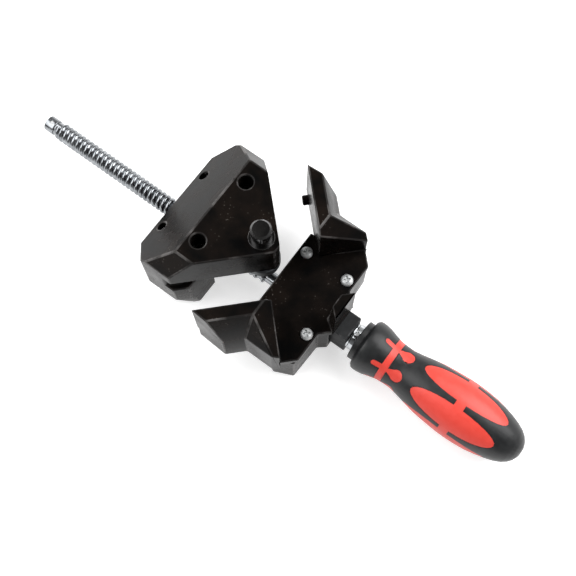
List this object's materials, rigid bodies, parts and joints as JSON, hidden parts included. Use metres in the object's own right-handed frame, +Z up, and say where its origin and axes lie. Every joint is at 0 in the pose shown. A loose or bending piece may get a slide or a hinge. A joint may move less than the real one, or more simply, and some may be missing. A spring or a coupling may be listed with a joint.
{
  "type": "corner clamp",
  "caption": "Right-angle corner clamp: a fixed corner jaw on a swivelling screw, a swinging jaw drawn along it by a nut, and a turned two-tone handle.",
  "frame": {"origin": "on the bench under the corner where the two fixed clamp faces would meet", "axes": "+X along the screw towards the handle, +Y towards one arm, +Z up from the bench"},
  "size_m": [0.31, 0.096, 0.0816],
  "materials": {
    "black_casting": "gloss black enamel",
    "dark_block": "matte dark grey",
    "carriage_steel": "plain cast steel",
    "chrome_screw": "bright plated",
    "steel": "bright zinc",
    "brass": "turned",
    "red_plastic": "satin red",
    "grip_rubber": "soft charcoal"
  },
  "bodies": {
    "fixed_jaw": {"corner_jaw": "black_casting", "rest_pegs": "black_casting", "base_housing": "black_casting", "housing_screws": "steel", "upper_bush": "brass", "lower_bush": "brass"},
    "swivel": {"swivel_block": "dark_block", "front_washer": "steel", "rear_washer": "chrome_screw"},
    "spindle": {"screw_spindle": "chrome_screw", "shank_circlip": "steel", "thrust_collar": "chrome_screw", "collar_pin": "steel", "end_stop": "chrome_screw", "stop_pin": "steel", "handle_ferrule": "grip_rubber", "handle_core": "red_plastic", "grip_front": "grip_rubber", "grip_middle": "grip_rubber", "grip_rear": "grip_rubber", "handle_pin": "steel"},
    "carriage": {"nut_carriage": "carriage_steel", "spindle_nut": "brass", "nut_lock_screw": "steel", "pivot_pin": "black_casting"},
    "moving_jaw": {"swing_jaw": "black_casting", "pivot_bush": "brass", "pin_ring": "black_casting"}
  },
  "joints": [
    {"name": "block_swivel", "type": "hinge", "parent": "fixed_jaw", "child": "swivel", "pos_m": [0, 0, 0.017], "axis": [0, 0, 1], "range_deg": [-3, 3]},
    {"name": "screw_turn", "type": "hinge", "parent": "swivel", "child": "spindle", "pos_m": [0, 0, 0.017], "axis": [1, 0, 0], "range_deg": [-1501, 10321]},
    {"name": "jaw_slide", "type": "slide", "parent": "swivel", "child": "carriage", "axis": [1, 0, 0], "range_m": [-0.086, 0.0125]},
    {"name": "jaw_swing", "type": "hinge", "parent": "carriage", "child": "moving_jaw", "pos_m": [-0.0402, 0, 0.055], "axis": [0, 0, 1], "range_deg": [-5, 5]}
  ],
  "couplings": [
    {"joint": "screw_turn", "follows": "jaw_slide", "rad_per_m": -2094.4}
  ]
}
